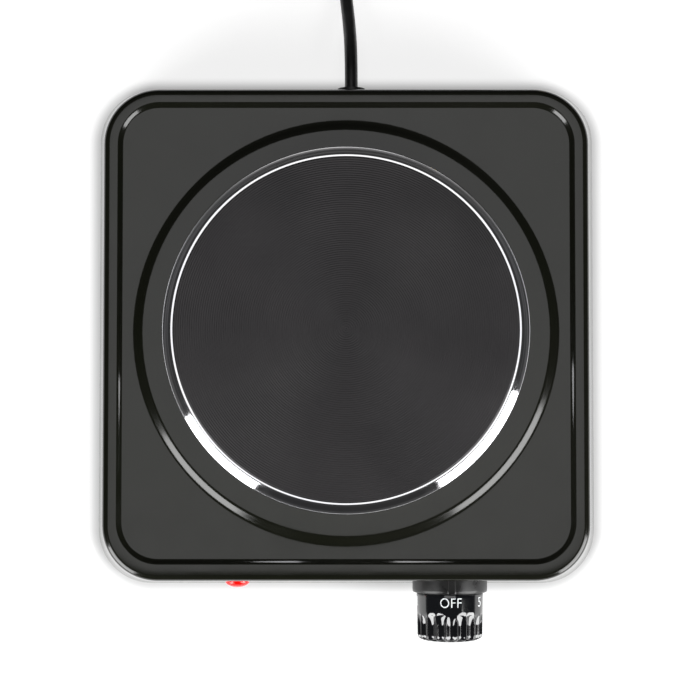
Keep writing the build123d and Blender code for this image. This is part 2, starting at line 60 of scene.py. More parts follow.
SHELL_LOW, SHELL_HIGH = mm_box("top_shell")
RING_LOW, RING_HIGH = mm_box("trim_ring")
PLATE_LOW, PLATE_HIGH = mm_box("hotplate_disc")
KNOB_LOW, KNOB_HIGH = mm_box("knob")
BEZEL_LOW, BEZEL_HIGH = mm_box("dial_bezel")
LENS_LOW, LENS_HIGH = mm_box("lamp_lens")
COIL_LOW, COIL_HIGH = mm_box("cord_coil")
PLUG_LOW, PLUG_HIGH = mm_box("plug_body")
BUSH_LOW, BUSH_HIGH = mm_box("cord_bush")

HOUSING_Y = (SHELL_LOW.y + SHELL_HIGH.y) / 2


def at(x, y, z):
    return Vector((x, y + HOUSING_Y, z)) * MM


# Housing
SHELL_Z = SHELL_LOW.z
RIM_Z = SHELL_HIGH.z
BOTTOM_HALF = (SHELL_HIGH.x - SHELL_LOW.x) / 2
BOTTOM_CORNER = 24.7
TOP_HALF = 107.8
TOP_HALF_DEPTH = 109.1
TOP_CORNER = 24.2
TOP_Y = -1.5
SHEET = 0.8
LIP = 12.0
LIP_CORNER = 13.0
FOLD_IN = 0.25
FOLD_UP = 0.3
WALL_SHARES = (0.15, 0.35, 0.55, 0.75, 0.9)
EDGE_R = 3.0
EDGE_STEPS = 12
INNER_EDGE_R = 2.2
INNER_EDGE_MIDDLE = (1.6, 0.7)
STEP = 1.5
STEP_CORNER = 19.0
STEP_CORNER_LOSS = 3.0
STEP_EASE = 0.45
STEP_PARTS = 18
STEP_FLAT = 0.8
UNDER_OUT = 0.9
UNDER_IN = 0.4
UNDER_CORNER = 0.5
STEP_Y = -0.8
STEP_OUTER = 102.4
STEP_INNER = 99.0
STEP_DEEPER = 0.9
RAISED_OUTER = 95.1
RAISED_INNER = 90.1
RAISED_FLAT = 1.0
HOLE_R = 72.0
PANEL_Z = RIM_Z - STEP
SHAFT_HOLE_R = 5.0
LAMP_HOLE_R = 5.0
CORD_HOLE_R = 5.6
THROUGH_FRONT = (-120.0, -100.0)
THROUGH_BACK = (104.0, 120.0)

# Plate and ring
RING_R = (RING_HIGH.x - RING_LOW.x) / 2
RING_Y = (RING_LOW.y + RING_HIGH.y) / 2 - HOUSING_Y
PLATE_Y = (PLATE_LOW.y + PLATE_HIGH.y) / 2 - HOUSING_Y
PLATE_BODY_R = (PLATE_HIGH.x - PLATE_LOW.x) / 2
PLATE_Z = PLATE_HIGH.z
PLATE_R = 75.55
GROOVE_PITCH = 0.98
GROOVE_DEPTH = 0.16
PLATE_EDGE = 0.45
PLATE_EDGE_PARTS = 6
PLATE_SHOULDER_Z = 62.2
PLATE_SEAT_Z = 62.0
PLATE_SKIRT = 1.6
PLATE_HOLLOW_R = 74.0
PLATE_ROOF_Z = 60.0
BOSS_R = 12.0
CENTRE_R = 0.02

# Control
KNOB_X = (KNOB_LOW.x + KNOB_HIGH.x) / 2
CONTROL_Z = (KNOB_LOW.z + KNOB_HIGH.z) / 2
KNOB_R = (KNOB_HIGH.x - KNOB_LOW.x) / 2
KNOB_BACK = KNOB_HIGH.y - HOUSING_Y
KNOB_FRONT = KNOB_LOW.y - HOUSING_Y
BEZEL_FRONT = BEZEL_LOW.y - HOUSING_Y
FLUTES = 20

# Cord
CORD_R = 3.0
CORD_X = (BUSH_LOW.x + BUSH_HIGH.x) / 2
BUSH_BACK = BUSH_HIGH.y - HOUSING_Y
CORD_Z = 17.0
LOW_LAY = COIL_LOW.z + CORD_R
HIGH_LAY = LOW_LAY + 2 * CORD_R
TURN_R = 33.0
OUTER_TURN_R = TURN_R + CORD_R
INNER_TURN_R = TURN_R - CORD_R
STUB = 22.5
COIL_Y = 201.5
COIL_TURNS = 3.25
TURN_POINTS = 16
ROUTE = (
    (CORD_X, BUSH_BACK, CORD_Z),
    (CORD_X, 130.5, CORD_Z),
    (1.3, 147.0, 8.5),
    (-0.6, 163.5, LOW_LAY),
    (-0.6, COIL_Y - STUB, LOW_LAY),
)
COIL_X = ROUTE[-1][0] + OUTER_TURN_R


# ---- camera, light and floor ----

CAMERA_HEIGHT = 900.0
CAMERA_FORWARD = 45.0
AIM = (1.7, -6.85, SHELL_Z)
LENS_MM = 98.4


def make_camera():
    """Almost straight above, a little to the front."""
    data = bpy.data.cameras.new("camera")
    data.lens = LENS_MM
    camera = bpy.data.objects.new("camera", data)
    bpy.context.scene.collection.objects.link(camera)
    camera.location = at(AIM[0], -CAMERA_FORWARD, CAMERA_HEIGHT)
    look = at(*AIM) - camera.location
    camera.rotation_euler = look.to_track_quat("-Z", "Y").to_euler()
    bpy.context.scene.camera = camera


def make_softbox(name, azimuth_deg, distance, size, lift, power):
    """An upright rectangular area light that faces the object. The azimuth is measured from +X."""
    data = bpy.data.lights.new(name, "AREA")
    data.shape = "RECTANGLE"
    data.size, data.size_y = size
    data.energy = power
    light = bpy.data.objects.new(name, data)
    bpy.context.scene.collection.objects.link(light)
    angle = math.radians(azimuth_deg)
    light.location = (distance * math.cos(angle), distance * math.sin(angle), lift)
    look = Vector((0, 0, lift)) - light.location
    light.rotation_euler = look.to_track_quat("-Z", "Y").to_euler()
    light.visible_camera = False


def make_overhead(width, depth, middle_y, height, power):
    """A large rectangular area light above, facing straight down."""
    data = bpy.data.lights.new("overhead", "AREA")
    data.shape = "RECTANGLE"
    data.size, data.size_y = width, depth
    data.energy = power
    light = bpy.data.objects.new("overhead", data)
    bpy.context.scene.collection.objects.link(light)
    light.location = (0, middle_y, height)
    light.visible_camera = False


def make_world():
    """A dim studio: a little lighter at the horizon than higher up."""
    world = bpy.data.worlds.new("studio")
    bpy.context.scene.world = world
    world.use_nodes = True
    nodes, links = world.node_tree.nodes, world.node_tree.links
    coords = nodes.new("ShaderNodeTexCoord")
    height = nodes.new("ShaderNodeSeparateXYZ")
    ramp = nodes.new("ShaderNodeValToRGB")
    links.new(coords.outputs["Generated"], height.inputs[0])
    links.new(height.outputs["Z"], ramp.inputs["Fac"])
    links.new(ramp.outputs["Color"], nodes["Background"].inputs["Color"])
    stops = ((0.0, 0.1), (0.1, 0.03), (0.4, 0.035), (1.0, 0.05))
    elements = ramp.color_ramp.elements
    for place, _ in stops[1:-1]:
        elements.new(place)
    for element, (place, grey) in zip(elements, stops):
        element.position = place
        element.color = (grey, grey, grey, 1)
    nodes["Background"].inputs["Strength"].default_value = 1.0


# Painted light on the floor: an emitted glow strongest round the object that fades outward (a painted pool
# of light), a base colour that greys further out (painted shade), and a painted contact shadow at the
# housing's outline.
FLOOR_GLOW = 0.8
GLOW_FADES = (0.26, 0.55)
NEAR_WHITE = 0.42
FAR_GREY = 0.22
GREY_COMES = (0.35, 0.8)
# Painted contact shadow: the floor's glow drops to this share at the housing's outline and is full again
# this far out, in metres.
PAINTED_SHADOW_GLOW = 0.3
PAINTED_SHADOW_ENDS = 0.008


def map_range(material, factor, low, high, at_low, at_high):
    """A smooth run from one value to another as the factor goes from low to high."""
    nodes, links = material.node_tree.nodes, material.node_tree.links
    run = nodes.new("ShaderNodeMapRange")
    run.interpolation_type = "SMOOTHSTEP"
    for name, value in (("From Min", low), ("From Max", high), ("To Min", at_low), ("To Max", at_high)):
        run.inputs[name].default_value = value
    links.new(factor, run.inputs["Value"])
    return run.outputs["Result"]


def outline_distance(material, position):
    """Distance on the floor from the housing's rounded square outline, zero inside it."""
    nodes, links = material.node_tree.nodes, material.node_tree.links
    straight = (BOTTOM_HALF - BOTTOM_CORNER) * MM

    def vector_step(operation, first, second=None):
        node = nodes.new("ShaderNodeVectorMath")
        node.operation = operation
        links.new(first, node.inputs[0])
        if second is not None:
            node.inputs[1].default_value = second
        return node.outputs

    moved = vector_step("SUBTRACT", position, (0, HOUSING_Y * MM, 0))["Vector"]
    folded = vector_step("ABSOLUTE", moved)["Vector"]
    outside = vector_step("SUBTRACT", folded, (straight, straight, 0))["Vector"]
    clipped = vector_step("MAXIMUM", outside, (0, 0, 0))["Vector"]
    length = vector_step("LENGTH", clipped)["Value"]
    rest = nodes.new("ShaderNodeMath")
    rest.operation = "SUBTRACT"
    rest.inputs[1].default_value = BOTTOM_CORNER * MM
    links.new(length, rest.inputs[0])
    return rest.outputs["Value"]


def make_floor():
    """A large floor with painted light: an emitted glow makes it white near the object and fades away from
    it as a painted pool of light, its base colour greys with distance as painted shade, and a painted
    contact shadow dims it at the housing's foot.
    """
    half = 3.0
    mesh = bpy.data.meshes.new("floor")
    corners = [(-half, -half, 0), (half, -half, 0), (half, half, 0), (-half, half, 0)]
    mesh.from_pydata(corners, [], [(0, 1, 2, 3)])
    floor = bpy.data.objects.new("floor", mesh)
    bpy.context.scene.collection.objects.link(floor)
    material, shader = new_material("floor_white", (NEAR_WHITE,) * 3, 0.9)
    nodes, links = material.node_tree.nodes, material.node_tree.links
    coords = nodes.new("ShaderNodeTexCoord")
    distance = nodes.new("ShaderNodeVectorMath")
    distance.operation = "LENGTH"
    links.new(coords.outputs["Object"], distance.inputs[0])
    # Painted pool of light: the floor's glow fades out with distance from the object, and its base colour
    # greys further out.
    painted_pool_glow = map_range(material, distance.outputs["Value"], *GLOW_FADES, FLOOR_GLOW, 0.0)
    shade = map_range(material, distance.outputs["Value"], *GREY_COMES, NEAR_WHITE, FAR_GREY)
    # Painted contact shadow: the glow is dimmed within a few millimetres of the housing's outline.
    gap = outline_distance(material, coords.outputs["Object"])
    painted_shadow = map_range(material, gap, 0.0, PAINTED_SHADOW_ENDS, PAINTED_SHADOW_GLOW, 1.0)
    product = nodes.new("ShaderNodeMath")
    product.operation = "MULTIPLY"
    links.new(painted_pool_glow, product.inputs[0])
    links.new(painted_shadow, product.inputs[1])
    links.new(product.outputs["Value"], shader.inputs["Emission Strength"])
    links.new(shade, shader.inputs["Base Color"])
    shader.inputs["Emission Color"].default_value = (1, 1, 1, 1)
    shader.inputs["Specular IOR Level"].default_value = 0.1
    mesh.materials.append(material)


# ---- materials ----


def new_material(name, colour, roughness, metallic=0.0):
    material = bpy.data.materials.new(name)
    material.use_nodes = True
    shader = material.node_tree.nodes["Principled BSDF"]
    shader.inputs["Base Color"].default_value = (*colour, 1)
    shader.inputs["Roughness"].default_value = roughness
    shader.inputs["Metallic"].default_value = metallic
    return material, shader


def noise(material, scale, detail=4.0, stretch=(1, 1, 1)):
    """A noise pattern fixed to the object, with its scale in cycles per metre."""
    nodes, links = material.node_tree.nodes, material.node_tree.links
    coords = nodes.new("ShaderNodeTexCoord")
    mapping = nodes.new("ShaderNodeMapping")
    mapping.inputs["Scale"].default_value = stretch
    pattern = nodes.new("ShaderNodeTexNoise")
    pattern.inputs["Scale"].default_value = scale
    pattern.inputs["Detail"].default_value = detail
    links.new(coords.outputs["Object"], mapping.inputs["Vector"])
    links.new(mapping.outputs["Vector"], pattern.inputs["Vector"])
    return pattern.outputs["Fac"]


def vary_colour(material, shader, factor, first, second, low=0.35, high=0.65):
    """Runs the base colour from first to second as the factor goes from low to high."""
    nodes, links = material.node_tree.nodes, material.node_tree.links
    ramp = nodes.new("ShaderNodeValToRGB")
    ramp.color_ramp.elements[0].position = low
    ramp.color_ramp.elements[1].position = high
    ramp.color_ramp.elements[0].color = (*first, 1)
    ramp.color_ramp.elements[1].color = (*second, 1)
    links.new(factor, ramp.inputs["Fac"])
    links.new(ramp.outputs["Color"], shader.inputs["Base Color"])


def vary_roughness(material, shader, factor, low, high):
    nodes, links = material.node_tree.nodes, material.node_tree.links
    spread = nodes.new("ShaderNodeMapRange")
    spread.inputs["From Min"].default_value = 0.3
    spread.inputs["From Max"].default_value = 0.7
    spread.inputs["To Min"].default_value = low
    spread.inputs["To Max"].default_value = high
    links.new(factor, spread.inputs["Value"])
    links.new(spread.outputs["Result"], shader.inputs["Roughness"])


def add_bump(material, shader, factor, depth_mm, strength=1.0):
    nodes, links = material.node_tree.nodes, material.node_tree.links
    bump = nodes.new("ShaderNodeBump")
    bump.inputs["Strength"].default_value = strength
    bump.inputs["Distance"].default_value = depth_mm * MM
    links.new(factor, bump.inputs["Height"])
    links.new(bump.outputs["Normal"], shader.inputs["Normal"])


def black_enamel():
    """Gloss black stove paint: a faint olive cast, orange peel and a little dust."""
    material, shader = new_material("black_enamel_look", (0.01, 0.011, 0.008), 0.1)
    vary_colour(material, shader, noise(material, 9), (0.0042, 0.0048, 0.0024), (0.006, 0.0062, 0.0042))
    vary_roughness(material, shader, noise(material, 60, 6), 0.11, 0.17)
    add_bump(material, shader, noise(material, 420, 2), 0.012, 0.35)
    return material


def machined_iron():
    """Blackened cast iron with the dull sheen of a turned face."""
    material, shader = new_material("machined_iron_look", (0.02, 0.018, 0.019), 0.38, 0.2)
    vary_colour(material, shader, noise(material, 25, 5), (0.017, 0.0157, 0.017), (0.025, 0.0232, 0.0246))
    vary_roughness(material, shader, noise(material, 700, 3), 0.29, 0.38)
    shader.inputs["Specular IOR Level"].default_value = 0.42
    add_bump(material, shader, noise(material, 2600, 3), 0.02, 0.5)
    return material


def polished_chrome():
    material, shader = new_material("polished_chrome_look", (0.86, 0.86, 0.88), 0.05, 1.0)
    vary_colour(material, shader, noise(material, 16, 3), (0.8, 0.8, 0.84), (0.9, 0.89, 0.9))
    vary_roughness(material, shader, noise(material, 240, 5), 0.035, 0.085)
    add_bump(material, shader, noise(material, 90, 3), 0.02, 0.25)
    return material


def plated_steel(name, colour, roughness, streak):
    """Rolled or plated sheet: broad mottling and fine streaks along X."""
    material, shader = new_material(name, colour, roughness, 1.0)
    dim = tuple(0.72 * part for part in colour)
    vary_colour(material, shader, noise(material, 55, 6), dim, colour)
    vary_roughness(material, shader, noise(material, 120, 4), roughness - 0.1, roughness + 0.12)
    add_bump(material, shader, noise(material, 500, 3, (0.08, 1, 1)), 0.02, streak)
    return material


def gloss_black(name, colour, roughness, grain_mm, specular=0.5):
    """Moulded plastic: near even colour, fine flow marks and a soft surface grain."""
    material, shader = new_material(name, colour, roughness)
    lighter = tuple(1.5 * part + 0.002 for part in colour)
    vary_colour(material, shader, noise(material, 45, 4), colour, lighter)
    vary_roughness(material, shader, noise(material, 160, 4), 0.8 * roughness, 1.35 * roughness)
    add_bump(material, shader, noise(material, 900, 3), grain_mm, 0.4)
    shader.inputs["Specular IOR Level"].default_value = specular
    return material


def red_lens():
    """Clear red plastic, lit a little from behind."""
    material, shader = new_material("red_lens_look", (0.6, 0.003, 0.002), 0.12)
    vary_colour(material, shader, noise(material, 300, 3), (0.5, 0.002, 0.001), (0.7, 0.006, 0.004))
    vary_roughness(material, shader, noise(material, 500, 3), 0.08, 0.16)
    shader.inputs["Emission Color"].default_value = (1, 0.002, 0.001, 1)
    shader.inputs["Emission Strength"].default_value = 0.3
    return material


def print_white():
    """The dial's printed figures, slightly worn."""
    material, shader = new_material("print_white_look", (0.8, 0.82, 0.84), 0.5)
    vary_colour(material, shader, noise(material, 1400, 5), (0.62, 0.65, 0.68), (0.85, 0.87, 0.88), 0.3, 0.5)
    vary_roughness(material, shader, noise(material, 900, 3), 0.4, 0.6)
    return material


def rubber(name, colour, roughness):
    material, shader = new_material(name, colour, roughness)
    lighter = tuple(1.8 * part + 0.004 for part in colour)
    vary_colour(material, shader, noise(material, 120, 5), colour, lighter)
    vary_roughness(material, shader, noise(material, 300, 4), roughness - 0.06, roughness + 0.12)
    add_bump(material, shader, noise(material, 1800, 4), 0.03, 0.5)
    return material


def ceramic(name, colour):
    """Unglazed ceramic: a speckled, slightly chalky surface."""
    material, shader = new_material(name, colour, 0.7)
    darker = tuple(0.8 * part for part in colour)
    vary_colour(material, shader, noise(material, 700, 6), darker, colour)
    vary_roughness(material, shader, noise(material, 400, 4), 0.6, 0.85)
    add_bump(material, shader, noise(material, 1500, 5), 0.05, 0.6)
    return material


def bulb_glass():
    material, shader = new_material("bulb_glass_look", (0.95, 0.8, 0.7), 0.05)
    vary_colour(material, shader, noise(material, 200, 3), (0.9, 0.7, 0.6), (1.0, 0.88, 0.8))
    shader.inputs["Transmission Weight"].default_value = 0.85
    return material


def slot_materials():
    """One finished material for each of the record's slots."""
    return {
        "black_enamel": black_enamel(),
        "zinc_steel": plated_steel("zinc_steel_look", (0.58, 0.59, 0.57), 0.36, 0.4),
        "foot_rubber": rubber("foot_rubber_look", (0.02, 0.02, 0.02), 0.62),
        "plate_iron": machined_iron(),
        "ring_chrome": polished_chrome(),
        "coil_wire": plated_steel("coil_wire_look", (0.3, 0.27, 0.24), 0.5, 0.3),
        "magnesia": ceramic("magnesia_look", (0.7, 0.68, 0.62)),
        "steatite": ceramic("steatite_look", (0.8, 0.76, 0.68)),
        "shield_aluminium": plated_steel("shield_aluminium_look", (0.78, 0.78, 0.78), 0.32, 0.5),
        "neck_brass": plated_steel("neck_brass_look", (0.78, 0.57, 0.26), 0.3, 0.3),
        "knob_black": gloss_black("knob_black_look", (0.0015, 0.0018, 0.0025), 0.07, 0.004, 1.0),
        "bezel_black": gloss_black("bezel_black_look", (0.004, 0.004, 0.004), 0.3, 0.02, 0.35),
        "lens_red": red_lens(),
        "bulb_glass": bulb_glass(),
        "nylon_black": gloss_black("nylon_black_look", (0.02, 0.02, 0.02), 0.42, 0.03),
        "cord_black": rubber("cord_black_look", (0.008, 0.008, 0.008), 0.34),
        "wire_green": rubber("wire_green_look", (0.12, 0.42, 0.08), 0.4),
        "wire_blue": rubber("wire_blue_look", (0.05, 0.14, 0.5), 0.4),
        "wire_brown": rubber("wire_brown_look", (0.2, 0.08, 0.03), 0.4),
        "wire_white": rubber("wire_white_look", (0.78, 0.77, 0.72), 0.45),
    }


# ---- mesh making ----


def add_piece(name, mesh, material, body, sharp_deg=40.0):
    """Links a finished mesh as a piece that rides on a body."""
    mesh.validate()
    for polygon in mesh.polygons:
        polygon.use_smooth = True
    mesh.set_sharp_from_angle(angle=math.radians(sharp_deg))
    mesh.materials.clear()
    mesh.materials.append(material)
    piece = bpy.data.objects.new(name, mesh)
    bpy.context.scene.collection.objects.link(piece)
    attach(piece, body)
    return piece


def skin(name, loops, close=False, cap_ends=False):
    """A mesh of quads through loops that all have the same number of points."""
    count = len(loops[0])
    points = [point for loop in loops for point in loop]
    pairs = list(zip(range(len(loops)), range(1, len(loops))))
    if close:
        pairs.append((len(loops) - 1, 0))
    faces = []
    for first, second in pairs:
        for i in range(count):
            j = (i + 1) % count
            faces.append((first * count + i, first * count + j, second * count + j, second * count + i))
    if cap_ends:
        faces.append(tuple(reversed(range(count))))
        faces.append(tuple(range((len(loops) - 1) * count, len(loops) * count)))
    mesh = bpy.data.meshes.new(name)
    mesh.from_pydata(points, [], faces)
    fix_normals(mesh)
    return mesh


def fix_normals(mesh):
    work = bmesh.new()
    work.from_mesh(mesh)
    bmesh.ops.remove_doubles(work, verts=work.verts, dist=1e-7)
    bmesh.ops.recalc_face_normals(work, faces=work.faces)
    work.to_mesh(mesh)
    work.free()


def rounded_square(half, corner, y, z, deeper=0.0, corner_points=20, side_points=24):
    """A loop round a square with rounded corners, anticlockwise from the right side's lower end.
    Its front and back sides stand further out by the given amount."""
    straight = half - corner
    quarter = [(half, straight * (2 * i / side_points - 1)) for i in range(side_points)]
    for i in range(corner_points):
        angle = math.radians(90 * i / corner_points)
        quarter.append((straight + corner * math.cos(angle), straight + corner * math.sin(angle)))
    stretch = (straight + deeper) / straight
    loop = []
    for cos, sin in ((1, 0), (0, 1), (-1, 0), (0, -1)):
        for a, b in quarter:
            across, along = a * cos - b * sin, a * sin + b * cos
            if abs(along) > straight:
                along += math.copysign(deeper, along)
            else:
                along *= stretch
            loop.append(at(across, along + y, z))
    return loop


LOOP_ANGLES = [
    math.atan2(point.y - at(0, 0, 0).y, point.x) for point in rounded_square(100, 18, 0, 0)
]


def circle(radius, y, z):
    """A circle whose points face those of the rounded squares."""
    return [at(radius * math.cos(a), y + radius * math.sin(a), z) for a in LOOP_ANGLES]


def even_circle(radius, y, z, count=256):
    angles = [2 * math.pi * i / count for i in range(count)]
    return [at(radius * math.cos(a), y + radius * math.sin(a), z) for a in angles]


def ring_about_y(radius, y, x, z, count, shape=None):
    """A circle about an axis along Y; shape changes the radius and y from the angle."""
    loop = []
    for i in range(count):
        angle = 2 * math.pi * i / count
        r, along = shape(angle, radius, y) if shape else (radius, y)
        loop.append(at(x + r * math.sin(angle), along, z + r * math.cos(angle)))
    return loop


def soft_ramp(t, ease=0.3):
    """Rises from 0 to 1 in a straight line whose two ends are rounded off."""
    t = min(max(t, 0.0), 1.0)
    full = 1.0 - ease
    if t < ease:
        return t * t / (2 * ease * full)
    if t > 1 - ease:
        return 1 - (1 - t) * (1 - t) / (2 * ease * full)
    return (t - ease / 2) / full


# ---- the housing ----


def wall_y_shift(z):
    """How far the housing's section is moved in Y at a height."""
    return TOP_Y * (z - SHELL_Z) / (RIM_Z - SHELL_Z)


def front_wall(z):
    """Y of the front wall's outside at a height."""
    share = (z - SHELL_Z) / (RIM_Z - SHELL_Z)
    return -(BOTTOM_HALF + share * (TOP_HALF_DEPTH - BOTTOM_HALF)) + wall_y_shift(z)


def shell_loops():
    """From the lip's inner edge round the outside to the plate's hole, and back along the inside."""
    lip_inner = BOTTOM_HALF - SHEET - LIP
    top_deeper = TOP_HALF_DEPTH - TOP_HALF
    loops = [rounded_square(lip_inner, LIP_CORNER, 0, SHELL_Z)]
    loops.append(rounded_square(BOTTOM_HALF - FOLD_IN, BOTTOM_CORNER - FOLD_IN, 0, SHELL_Z))
    loops.append(rounded_square(BOTTOM_HALF, BOTTOM_CORNER, 0, SHELL_Z + FOLD_UP))
    lean = math.atan((BOTTOM_HALF - TOP_HALF) / (RIM_Z - SHELL_Z))
    inset = EDGE_R * math.tan((math.pi / 2 - lean) / 2)
    centre_half, centre_z = TOP_HALF - inset, RIM_Z - EDGE_R
    wall_top = centre_z + EDGE_R * math.sin(lean)
    for share in WALL_SHARES:
        z = SHELL_Z + share * (wall_top - SHELL_Z)
        half = BOTTOM_HALF - (z - SHELL_Z) * math.tan(lean)
        corner = BOTTOM_CORNER + (TOP_CORNER - BOTTOM_CORNER) * share
        loops.append(rounded_square(half, corner, wall_y_shift(z), z, top_deeper * share))
    for i in range(EDGE_STEPS + 1):
        angle = lean + (math.pi / 2 - lean) * i / EDGE_STEPS
        half = centre_half + EDGE_R * math.cos(angle)
        z = centre_z + EDGE_R * math.sin(angle)
        corner = TOP_CORNER - (TOP_HALF - half)
        loops.append(rounded_square(half, corner, wall_y_shift(z), z, top_deeper))
    for i in range(STEP_PARTS + 1):
        t = i / STEP_PARTS
        half = STEP_OUTER + t * (STEP_INNER - STEP_OUTER)
        z = RIM_Z - STEP * soft_ramp(t, STEP_EASE)
        corner = STEP_CORNER - STEP_CORNER_LOSS * t
        loops.append(rounded_square(half, corner, STEP_Y, z, STEP_DEEPER))
    loops.append(circle(RAISED_OUTER + STEP_FLAT, STEP_Y, PANEL_Z))
    for i in range(STEP_PARTS + 1):
        t = i / STEP_PARTS
        radius = RAISED_OUTER + t * (RAISED_INNER - RAISED_OUTER)
        loops.append(circle(radius, STEP_Y, PANEL_Z + STEP * soft_ramp(t, STEP_EASE)))
    loops.append(circle(RAISED_INNER - RAISED_FLAT, STEP_Y, RIM_Z))
    loops.append(circle(RING_R, RING_Y, RIM_Z))
    loops.append(circle(HOLE_R, RING_Y, RIM_Z))
    loops += inner_loops(lip_inner)
    return loops


def inner_loops(lip_inner):
    """The sheet's underside and inside, from the plate's hole back to the lip."""
    roof, low_roof = RIM_Z - SHEET, PANEL_Z - SHEET
    corner = TOP_CORNER - SHEET
    top_inside = TOP_HALF - SHEET - INNER_EDGE_R
    middle_out, middle_down = INNER_EDGE_MIDDLE
    middle_corner = corner - INNER_EDGE_R + middle_out
    deeper = TOP_HALF_DEPTH - TOP_HALF
    under_step = STEP_CORNER + UNDER_CORNER
    return [
        circle(HOLE_R, RING_Y, roof),
        circle(RAISED_INNER - UNDER_IN, STEP_Y, roof),
        circle(RAISED_OUTER - UNDER_IN, STEP_Y, low_roof),
        rounded_square(STEP_INNER + UNDER_OUT, under_step - STEP_CORNER_LOSS, STEP_Y, low_roof, STEP_DEEPER),
        rounded_square(STEP_OUTER + UNDER_OUT, under_step, STEP_Y, roof, STEP_DEEPER),
        rounded_square(top_inside, corner - INNER_EDGE_R, TOP_Y, roof, deeper),
        rounded_square(top_inside + middle_out, middle_corner, TOP_Y, roof - middle_down, deeper),
        rounded_square(top_inside + INNER_EDGE_R, corner, TOP_Y, roof - INNER_EDGE_R, deeper),
        rounded_square(BOTTOM_HALF - SHEET, BOTTOM_CORNER - SHEET, 0, SHELL_Z + SHEET),
        rounded_square(lip_inner, LIP_CORNER, 0, SHELL_Z + SHEET),
    ]


def cut_round_holes(mesh, holes):
    """Cuts holes along Y, each given as x, z, radius, y0 and y1."""
    piece = bpy.data.objects.new("cut_work", mesh)
    bpy.context.scene.collection.objects.link(piece)
    cutters = []
    for x, z, radius, y0, y1 in holes:
        loops = [ring_about_y(radius, y, x, z, 48) for y in (y0, y1)]
        cutter = bpy.data.objects.new("cutter", skin("cutter", loops, cap_ends=True))
        bpy.context.scene.collection.objects.link(cutter)
        modifier = piece.modifiers.new("hole", "BOOLEAN")
        modifier.operation = "DIFFERENCE"
        modifier.solver = "EXACT"
        modifier.object = cutter
        cutters.append(cutter)
    bpy.context.view_layer.update()
    evaluated = piece.evaluated_get(bpy.context.evaluated_depsgraph_get())
    result = bpy.data.meshes.new_from_object(evaluated)
    for work in [piece, *cutters]:
        bpy.data.objects.remove(work)
    return result


def make_housing(looks):
    mesh = skin("housing_shell", shell_loops(), close=True)
    lamp_x = (LENS_LOW.x + LENS_HIGH.x) / 2
    mesh = cut_round_holes(mesh, [
        (KNOB_X, CONTROL_Z, SHAFT_HOLE_R, *THROUGH_FRONT),
        (lamp_x, CONTROL_Z, LAMP_HOLE_R, *THROUGH_FRONT),
        (CORD_X, CORD_Z, CORD_HOLE_R, *THROUGH_BACK),
    ])
    shell = add_piece("housing_shell", mesh, looks["black_enamel"], "housing", 34)
    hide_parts("top_shell")


# ---- the plate and its ring ----


def plate_loops():
    """The turned face is a fine set of rings about the centre; the edge and underside are plain."""
    face_r = PLATE_R - PLATE_EDGE
    samples = 4
    count = int(face_r / GROOVE_PITCH) * samples
    loops = [even_circle(CENTRE_R, PLATE_Y, PLATE_Z)]
    for i in range(1, count + 1):
        radius = face_r * i / count
        cut = GROOVE_DEPTH * (0.5 - 0.5 * math.cos(2 * math.pi * i / samples))
        loops.append(even_circle(radius, PLATE_Y, PLATE_Z - cut))
    for i in range(1, PLATE_EDGE_PARTS + 1):
        angle = math.radians(90 * i / PLATE_EDGE_PARTS)
        radius = face_r + PLATE_EDGE * math.sin(angle)
        loops.append(even_circle(radius, PLATE_Y, PLATE_Z - PLATE_EDGE * (1 - math.cos(angle))))
    skirt_z = PLATE_LOW.z + PLATE_SKIRT
    rest = (
        (PLATE_R, PLATE_SHOULDER_Z), (PLATE_BODY_R, PLATE_SEAT_Z), (PLATE_BODY_R, skirt_z),
        (PLATE_HOLLOW_R, skirt_z), (PLATE_HOLLOW_R, PLATE_ROOF_Z), (BOSS_R, PLATE_ROOF_Z),
        (BOSS_R, PLATE_LOW.z), (CENTRE_R, PLATE_LOW.z),
    )
    for radius, z in rest:
        loops.append(even_circle(radius, PLATE_Y, z))
    return loops


def make_plate(looks):
    mesh = skin("plate_casting", plate_loops(), cap_ends=True)
    plate = add_piece("plate_casting", mesh, looks["plate_iron"], "housing", 50)
    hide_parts("hotplate_disc")


RING_OUTSIDE = (
    (74.5, 52.0), (80.6, 52.0), (80.8, 52.2), (80.8, 54.0), (80.8, 61.2), (80.8, 61.6), (80.73, 61.97),
    (80.53, 62.27), (79.9, 62.88), (79.2, 63.52), (78.5, 64.12), (77.95, 64.6), (77.45, 64.97),
    (76.8, 65.16), (76.0, 65.15),
)
RING_INSIDE = (
    (75.8, 65.05), (75.85, 64.75), (76.3, 64.5), (77.3, 64.3), (79.7, 62.4), (80.2, 61.4),
    (80.2, 52.6), (74.5, 52.6),
)


def rounded_line(points, parts=5):
    """A smooth curve through (radius, z) points."""
    line = []
    for i in range(len(points) - 1):
        before, here = points[max(i - 1, 0)], points[i]
        ahead, after = points[i + 1], points[min(i + 2, len(points) - 1)]
        for step in range(parts):
            t = step / parts
            line.append(tuple(
                here[k] + 0.5 * t * (
                    ahead[k] - before[k]
                    + t * (2 * before[k] - 5 * here[k] + 4 * ahead[k] - after[k])
                    + t * t * (3 * (here[k] - ahead[k]) + after[k] - before[k])
                )
                for k in (0, 1)
            ))
    return line + [points[-1]]


def ring_profile():
    """(radius, z) points of the ring: foot, skirt, rounded shoulder, flat lip, and back down inside."""
    return list(RING_OUTSIDE[:2]) + rounded_line(RING_OUTSIDE[2:]) + list(RING_INSIDE)


def make_ring(looks):
    """The lip follows the plate, which stands a little further back than the ring's foot."""
    loops = []
    for radius, z in ring_profile():
        share = (z - RIM_Z) / (RING_HIGH.z - RIM_Z)
        loops.append(even_circle(radius, RING_Y + share * (PLATE_Y - RING_Y), z, 320))
    mesh = skin("ring_band", loops, close=True)
    ring = add_piece("ring_band", mesh, looks["ring_chrome"], "housing", 50)
    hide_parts("trim_ring")


# ---- the control ----

